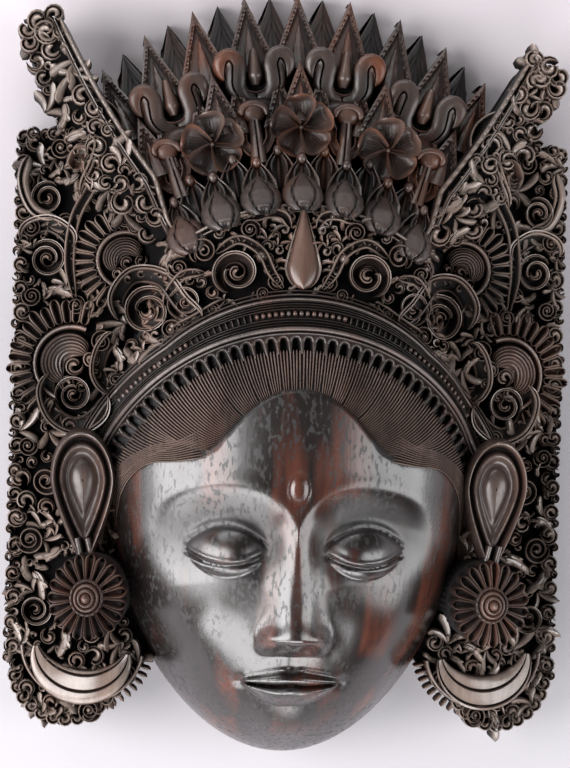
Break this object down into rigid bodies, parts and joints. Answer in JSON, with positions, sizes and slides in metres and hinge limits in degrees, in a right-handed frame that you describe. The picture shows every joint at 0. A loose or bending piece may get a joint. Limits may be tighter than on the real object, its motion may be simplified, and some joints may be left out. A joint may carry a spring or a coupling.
{
  "type": "carved wooden mask",
  "caption": "Large carved hardwood wall mask: a calm face under a tall pointed crown with flowers, between two horns, side panels of scrollwork and drum earrings.",
  "frame": {"origin": "on the plane of the flat back, under the middle of the outline", "axes": "+Z out of the face, the mask lying on its back; +Y towards the top of the crown; +X to the right of someone who looks at the face"},
  "size_m": [0.387, 0.5226, 0.1503],
  "materials": {
    "dark_hardwood": "waxed and polished dark hardwood, worn red-brown on the crests"
  },
  "bodies": {
    "root": {"mask": "dark_hardwood"}
  },
  "joints": []
}
